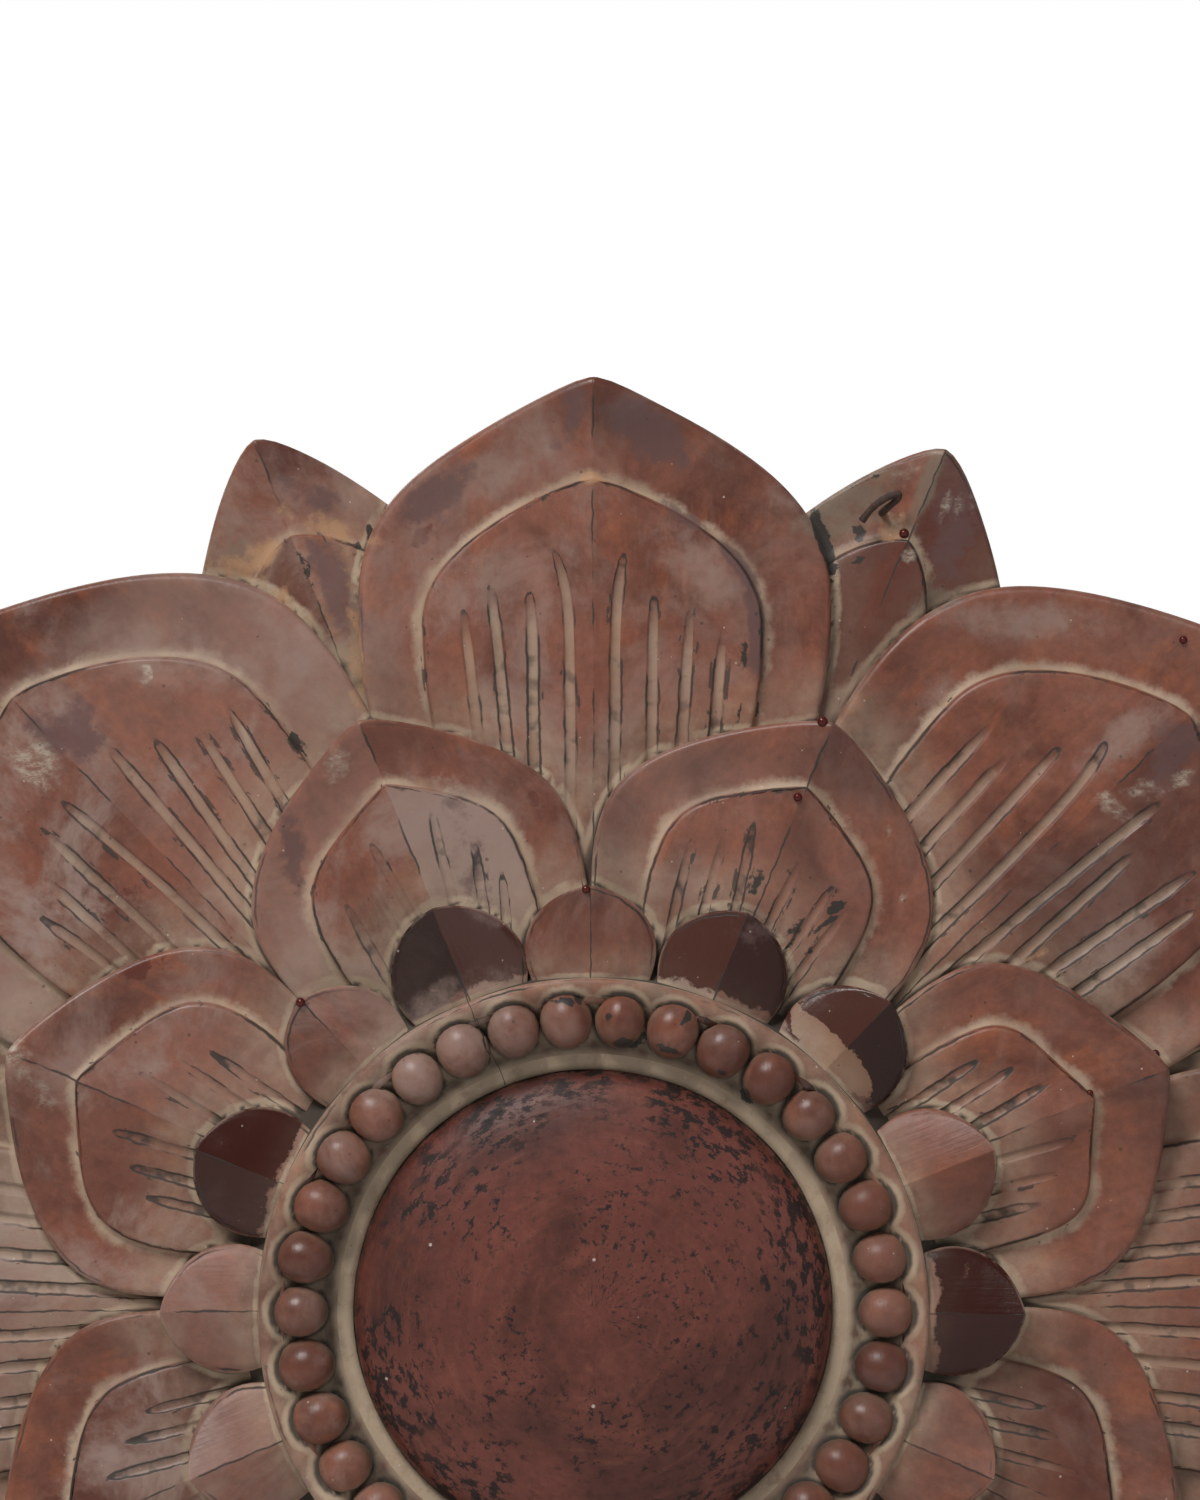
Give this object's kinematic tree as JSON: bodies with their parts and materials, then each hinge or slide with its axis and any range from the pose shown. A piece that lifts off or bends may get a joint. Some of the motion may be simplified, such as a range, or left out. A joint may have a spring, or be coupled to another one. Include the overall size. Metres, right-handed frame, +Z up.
{
  "type": "carved lotus rosette panel",
  "caption": "Round carved wood rosette of overlapping lotus petals around a beaded ring and a turned boss, with a flat back for a wall or ceiling.",
  "frame": {"origin": "centre of the rosette on its flat back", "axes": "+Y out of the back, so the carving faces -Y; +Z up through the top large petal; +X right as seen from the front"},
  "size_m": [1.15, 0.103, 1.15],
  "materials": {
    "red_lacquer": "worn red-brown lacquer on carved wood, satin, dusty in the hollows",
    "dark_lacquer": "dark red lacquer with black streaks, satin",
    "rusted_iron": "rusted, matt"
  },
  "bodies": {
    "root": {"lotus_panel": "red_lacquer", "centre_boss": "dark_lacquer", "bent_nail": "rusted_iron"}
  },
  "joints": []
}
